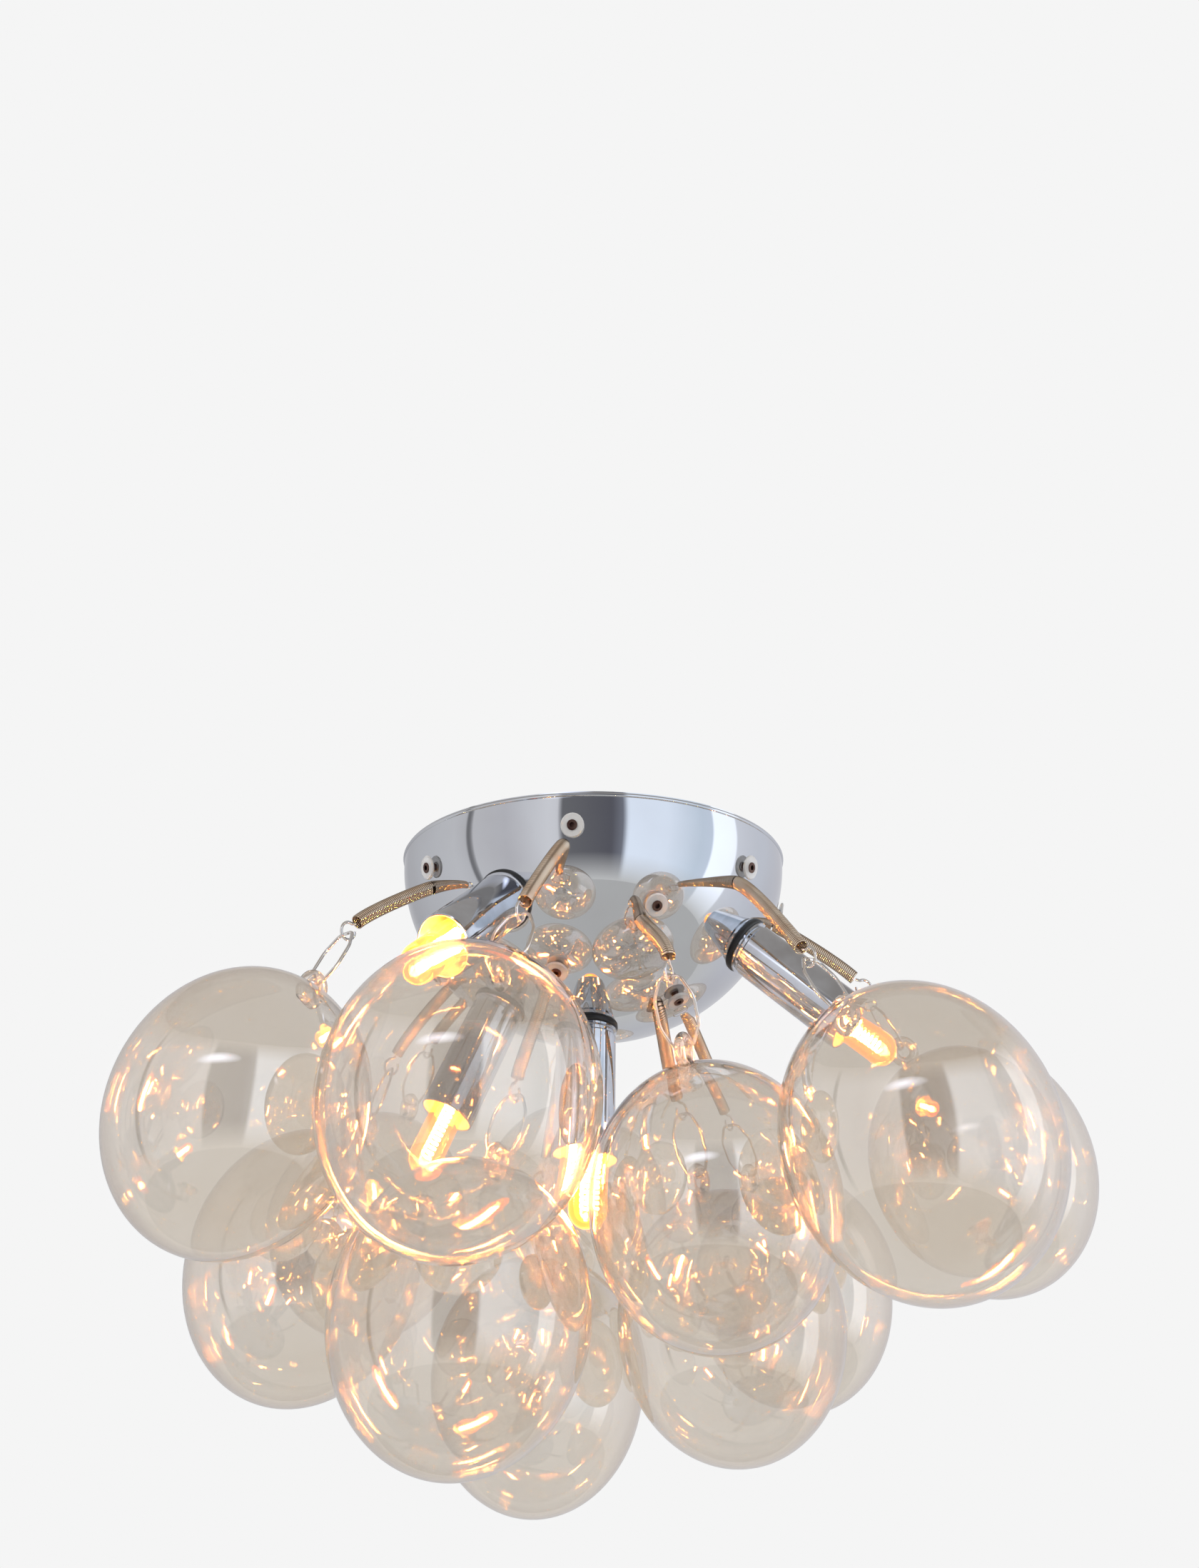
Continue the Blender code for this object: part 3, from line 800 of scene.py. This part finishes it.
def makeGasketPattern():
    outline = [
        (sleeve["stem"], -gasket["skirt"]),
        (gasket["radius"], -gasket["skirt"]),
        (gasket["radius"] + gasket["swell"], 0),
        (gasket["radius"], gasket["height"] - gasket["soft"]),
        (gasket["radius"] - gasket["soft"], gasket["height"]),
        (sleeve["stem"], gasket["height"]),
    ]
    ring = turned("gasketPattern", outline, sleeve["steps"])
    smooth(ring)
    coat(ring, finish["blackRubber"])
    return ring


def makeNut():
    bpy.ops.mesh.primitive_cylinder_add(
        vertices=nut["sides"],
        radius=nut["radius"],
        depth=nut["height"],
        location=(0, 0, nut["top"] - nut["height"] / 2),
    )
    piece = newPiece("nutPattern")
    bake(piece)
    applied(piece, "BEVEL", width=nut["soft"], segments=nut["softSteps"])
    return piece


def makeSleevePattern():
    radius, soft, foot = sleeve["radius"], sleeve["soft"], sleeve["foot"]
    bore, waist = radius - sleeve["wall"], radius - sleeve["groove"]
    top, floor, stemEnd = foot + sleeve["length"], foot + sleeve["floor"], nut["top"] - nut["height"]
    outline = [
        (radius, gasket["height"]),
        (radius + soft, gasket["height"] + soft),
        (radius + soft, sleeve["collarTop"] - soft),
        (waist, sleeve["collarTop"]),
        (waist, foot + soft),
        (radius, foot + 3 * soft),
        (radius, top - soft),
        (radius - soft, top),
        (bore + soft, top),
        (bore, top - soft),
        (bore, floor),
        (sleeve["stemBore"], floor),
        (sleeve["stemBore"], stemEnd),
        (sleeve["stem"], stemEnd),
        (sleeve["stem"], gasket["height"]),
    ]
    shell = turned("sleevePattern", outline, sleeve["steps"])
    whole = joined("sleevePattern", [shell, makeNut()])
    coat(whole, finish["sleeveChrome"], finish["sleeveBore"])
    for face in whole.data.polygons:
        inside = face.center.xy.length < bore + soft / 2 and face.center.z > floor - sleeve["floor"] / 2
        face.material_index = int(inside)
    smooth(whole, sleeve["smoothAngle"])
    return whole


def makeSocketPattern():
    foot, top = socket["foot"], socket["foot"] + socket["length"]
    flangeTop = foot + socket["flangeHeight"]
    outline = [
        (0, foot),
        (socket["flange"], foot),
        (socket["flange"], flangeTop - socket["soft"]),
        (socket["flange"] - socket["soft"], flangeTop),
        (socket["radius"], flangeTop),
        (socket["radius"], top - socket["soft"]),
        (socket["radius"] - socket["soft"], top),
        (0, top),
    ]
    body = turned("socketPattern", outline, socket["steps"])
    wide, thick, _ = bulb["pinch"]
    gap = 2 * socket["slotGap"]
    bpy.ops.mesh.primitive_cube_add(size=1, location=(0, 0, (top + bulb["foot"]) / 2))
    slot = newPiece("slotCutter")
    slot.scale = (wide + gap, thick + gap, top - bulb["foot"] + gap)
    bake(slot)
    cutOrFused(body, slot, "DIFFERENCE")
    smooth(body, socket["smoothAngle"])
    coat(body, finish["steatite"])
    return body


def capsuleOutline(radius, low, high):
    # shouldered at the foot, with a round crown
    outline = [(0, low)]
    for across, up in bulb["shoulderShares"]:
        outline.append((radius * across, low + radius * up))
    for step in range(bulb["crownSteps"]):
        lift = math.pi / 2 * step / bulb["crownSteps"]
        outline.append((radius * math.cos(lift), high - radius + radius * math.sin(lift)))
    outline.append((0, high))
    return outline


def capsuleEnds():
    top = bulb["foot"] + bulb["pinch"][2]
    return top - bulb["sink"], top + bulb["length"]


def makeCapsulePattern():
    wide, thick, tall = bulb["pinch"]
    low, high = capsuleEnds()
    glass = turned("capsulePattern", capsuleOutline(bulb["radius"], low, high), bulb["steps"])
    bpy.ops.mesh.primitive_cube_add(size=1, location=(0, 0, bulb["foot"] + tall / 2))
    pinch = newPiece("pinch")
    pinch.scale = (wide, thick, tall)
    bake(pinch)
    applied(pinch, "BEVEL", width=bulb["pinchSoft"], segments=bulb["pinchSoftSteps"])
    cutOrFused(glass, pinch, "UNION")
    inner = capsuleOutline(bulb["radius"] - bulb["wall"], low + bulb["innerFloor"], high - bulb["wall"])
    hollow = turned("bulbHollow", inner, bulb["steps"])
    turnInsideOut(hollow)
    coat(glass, finish["capsuleGlass"])
    coat(hollow, finish["hotInsideGlass"])
    whole = joined("capsulePattern", [glass, hollow])
    smooth(whole, bulb["smoothAngle"])
    return whole


def makeFilamentPattern():
    low, high = capsuleEnds()
    bpy.ops.mesh.primitive_circle_add(
        vertices=filament["wireSides"],
        radius=filament["wire"],
        location=(filament["radius"], 0, 0),
        rotation=(math.pi / 2, 0, 0),
    )
    coil = newPiece("filamentPattern")
    bake(coil)
    applied(
        coil,
        "SCREW",
        axis="Z",
        iterations=filament["turns"],
        screw_offset=(high - low - 2 * filament["endGap"]) / filament["turns"],
        steps=filament["steps"],
        render_steps=filament["steps"],
    )
    coil.location.z = low + filament["endGap"]
    bake(coil)
    coil.data.shade_smooth()
    coat(coil, finish["whiteHotFilament"])
    return coil


def makePinPattern():
    # both pins reach half way up into the foot
    inside = bulb["pinch"][2] / 2
    pair = []
    for side in (1, -1):
        bpy.ops.mesh.primitive_cylinder_add(
            vertices=pin["sides"],
            radius=pin["radius"],
            depth=pin["length"] + inside,
            location=(side * pin["spacing"] / 2, 0, bulb["foot"] + (inside - pin["length"]) / 2),
        )
        pair.append(newPiece("pin"))
        bake(pair[-1])
    pattern = joined("pinPattern", pair)
    smooth(pattern)
    coat(pattern, finish["zincedSteel"])
    return pattern


patterns = {
    "gasket": makeGasketPattern(),
    "lampSleeve": makeSleevePattern(),
    "lampSocket": makeSocketPattern(),
    "bulbCapsule": makeCapsulePattern(),
    "bulbFilament": makeFilamentPattern(),
    "bulbPins": makePinPattern(),
}
for number, seat in enumerate(lampSeats, 1):
    pieces = {name: copyOf(pattern, f"{name}{number}", seatOn(*seat)) for name, pattern in patterns.items()}
    bulbBody = f"bulb_{number}"
    dress(pieces["gasket"], stands=f"lamp_gasket_{number}")
    dress(pieces["lampSleeve"], stands=f"lamp_sleeve_{number}")
    dress(pieces["lampSocket"], stands=f"lamp_socket_{number}")
    dress(pieces["bulbCapsule"], bulbBody, bulbBody)
    dress(pieces["bulbFilament"], bulbBody)
    dress(pieces["bulbPins"], bulbBody)
for pattern in patterns.values():
    bpy.data.objects.remove(pattern)
print("stage: lampholders and bulbs")


# the CAD pieces that stay, inside the bowl
for name, coating in {
    "ceiling_strap": "zincedSteel",
    "side_screw_1": "zincedSteel",
    "side_screw_2": "zincedSteel",
    "earth_screw": "plainBrass",
    "terminal_block": "whiteNylon",
    "wiring_loom": "leadBraid",
}.items():
    coat(nodes[name], finish[coating])
print("stage: inner pieces")


# room: pale floor, soft lamps, and lit walls that only metal and glass show
# sizes and places are in metres
room = {
    "backdrop": (0.913, 0.913, 0.913, 1),
    "floorDrop": 1.5,
    "floorSize": 34,
    "softboxAim": (0, 0, -0.12),
    # place, size and power in watts
    "softboxes": {
        "leftSoftbox": ((-1.2, -0.9, 0.3), 0.8, 10),
        "rightSoftbox": ((1.3, -0.7, 0.2), 0.7, 8),
    },
    "wallRadius": 1.75,
    "wallTop": 1.3,
    "wallSides": 96,
    "wallStrength": 1.25,
    "footShares": (-0.5, -0.22),  # of the wall's height, from its middle
    "topShares": (0.3, 0.5),
    "slabShare": 2.2,  # of the wall's radius
    "ceiling": (0.42, 0.4, 0.38, 1),
    "foot": (0.62, 0.62, 0.61, 1),
    "rugHeight": 0.001,
    "domeRadius": 1.45,
    "seenThrough": (0.74, 0.735, 0.725, 1),
    "strip": (1.1, 0.3),
    "stripPlace": (-0.4, -1.5, 0.6),
    "stripColour": (2.6, 2.8, 3.4, 1),
    # share of the way round, from the back by the left, and the wall's colour there
    "wallBands": [
        (0.0, (0.5, 0.5, 0.52)),
        (0.1, (0.42, 0.42, 0.44)),
        (0.17, (0.52, 0.52, 0.54)),
        (0.26, (0.6, 0.6, 0.62)),
        (0.285, (0.56, 0.56, 0.58)),
        (0.288, (0.2, 0.2, 0.21)),
        (0.296, (0.2, 0.2, 0.21)),
        (0.299, (0.6, 0.6, 0.62)),
        (0.36, (0.56, 0.56, 0.59)),
        (0.43, (0.72, 0.72, 0.75)),
        (0.445, (0.7, 0.7, 0.73)),
        (0.452, (0.16, 0.16, 0.17)),
        (0.53, (0.11, 0.11, 0.13)),
        (0.548, (0.2, 0.21, 0.25)),
        (0.556, (0.88, 0.96, 1.08)),
        (0.62, (0.86, 0.94, 1.06)),
        (0.68, (0.64, 0.73, 0.84)),
        (0.7, (0.66, 0.74, 0.86)),
        (0.703, (1.2, 1.28, 1.4)),
        (0.75, (1.15, 1.2, 1.3)),
        (0.754, (0.72, 0.74, 0.8)),
        (0.82, (0.62, 0.64, 0.7)),
        (0.9, (0.54, 0.54, 0.58)),
        (1.0, (0.5, 0.5, 0.52)),
    ],
}


def makeFloor():
    world = bpy.data.worlds.new("studio")
    bpy.context.scene.world = world
    world.use_nodes = True
    world.node_tree.nodes["Background"].inputs["Color"].default_value = room["backdrop"]
    bpy.ops.mesh.primitive_plane_add(size=room["floorSize"], location=(0, 0, -room["floorDrop"]))
    floor = newPiece("floor")
    coat(floor, finish["paleFloor"])


def litPaint(name, colour):
    paint = bpy.data.materials.new(name)
    paint.use_nodes = True
    tree = paint.node_tree
    tree.nodes.remove(tree.nodes["Principled BSDF"])
    glow = tree.nodes.new("ShaderNodeEmission")
    feed(tree, glow.inputs["Color"], colour)
    feed(tree, tree.nodes["Material Output"].inputs["Surface"], glow.outputs["Emission"])
    return paint


def onlyMirrored(name, paint):
    # the last thing added becomes a lit surface of the room
    surface = newPiece(name)
    coat(surface, paint)
    for rays in ("camera", "diffuse", "transmission", "shadow"):
        setattr(surface, f"visible_{rays}", False)
    return surface


def bandedPaint(tall):
    paint = litPaint("bandedWall", room["foot"])
    tree = paint.node_tree
    place = tree.nodes.new("ShaderNodeTexCoord").outputs["Object"]
    turn = tree.nodes.new("ShaderNodeMapping")
    turn.inputs["Rotation"].default_value = (0, 0, math.pi / 2)
    around = tree.nodes.new("ShaderNodeTexGradient")
    around.gradient_type = "RADIAL"
    ramp = tree.nodes.new("ShaderNodeValToRGB")
    height = tree.nodes.new("ShaderNodeSeparateXYZ")
    feed(tree, turn.inputs["Vector"], place)
    feed(tree, around.inputs["Vector"], turn.outputs["Vector"])
    feed(tree, ramp.inputs["Fac"], around.outputs["Fac"])
    feed(tree, height.inputs["Vector"], place)
    footSpan = [tall * share for share in room["footShares"]]
    topSpan = [tall * share for share in room["topShares"]]
    fade = stretched(tree, height.outputs["Z"], footSpan, 1.0, 0.0)
    rise = stretched(tree, height.outputs["Z"], topSpan, 0.0, 1.0)
    lower = mixColour(tree, fade, ramp.outputs["Color"], room["foot"])
    glow = tree.nodes["Emission"].inputs
    feed(tree, glow["Color"], mixColour(tree, rise, lower, room["ceiling"]))
    feed(tree, glow["Strength"], room["wallStrength"])
    stops = ramp.color_ramp.elements
    while len(stops) < len(room["wallBands"]):
        stops.new(0.5)
    for stop, (share, colour) in zip(stops, room["wallBands"]):
        stop.position = share
        stop.color = (*colour, 1)
    return paint


def makeWalls():
    tall = room["wallTop"] + room["floorDrop"]
    bpy.ops.mesh.primitive_cylinder_add(
        vertices=room["wallSides"],
        radius=room["wallRadius"],
        depth=tall,
        location=(0, 0, room["wallTop"] - tall / 2),
        end_fill_type="NOTHING",
    )
    onlyMirrored("mirroredWall", bandedPaint(tall))
    slab = room["slabShare"] * room["wallRadius"]
    bpy.ops.mesh.primitive_plane_add(size=slab, location=(0, 0, room["wallTop"]))
    onlyMirrored("mirroredCeiling", litPaint("ceilingPaint", room["ceiling"]))
    bpy.ops.mesh.primitive_plane_add(size=slab, location=(0, 0, room["rugHeight"] - room["floorDrop"]))
    onlyMirrored("mirroredFloor", litPaint("floorPaint", room["foot"]))
    # a plain grey shows through the glass
    bpy.ops.mesh.primitive_uv_sphere_add(radius=room["domeRadius"])
    dome = onlyMirrored("greyDome", litPaint("domePaint", room["seenThrough"]))
    dome.visible_glossy, dome.visible_transmission = False, True


def fadedPaint():
    # a lit patch that fades out to its rim
    paint = litPaint("stripLight", room["stripColour"])
    tree = paint.node_tree
    place = tree.nodes.new("ShaderNodeTexCoord").outputs["Object"]
    # doubled, so that half a side is one radius of the gradient
    spread = tree.nodes.new("ShaderNodeMapping")
    spread.inputs["Scale"].default_value = (2, 2, 2)
    edge = tree.nodes.new("ShaderNodeTexGradient")
    edge.gradient_type = "SPHERICAL"
    clear = tree.nodes.new("ShaderNodeBsdfTransparent")
    mix = tree.nodes.new("ShaderNodeMixShader")
    feed(tree, spread.inputs["Vector"], place)
    feed(tree, edge.inputs["Vector"], spread.outputs["Vector"])
    feed(tree, mix.inputs["Fac"], edge.outputs["Fac"])
    feed(tree, mix.inputs[1], clear.outputs["BSDF"])
    feed(tree, mix.inputs[2], tree.nodes["Emission"].outputs["Emission"])
    feed(tree, tree.nodes["Material Output"].inputs["Surface"], mix.outputs["Shader"])
    return paint


def makeStrip():
    # soft daylight high on the wall behind the camera
    bpy.ops.mesh.primitive_plane_add(size=1, location=room["stripPlace"], rotation=(math.pi / 2, 0, 0))
    strip = onlyMirrored("mirroredStrip", fadedPaint())
    strip.scale = (*room["strip"], 1)


def addSoftbox(name, place, size, power):
    bpy.ops.object.light_add(type="AREA", location=place)
    box = bpy.context.active_object
    box.name = name
    box.data.size = size
    box.data.energy = power
    aim = Vector(room["softboxAim"]) - Vector(place)
    box.rotation_euler = aim.to_track_quat("-Z", "Y").to_euler()
    box.visible_glossy = box.visible_transmission = False


makeFloor()
makeWalls()
makeStrip()
for name, values in room["softboxes"].items():
    addSoftbox(name, *values)
print("stage: room")
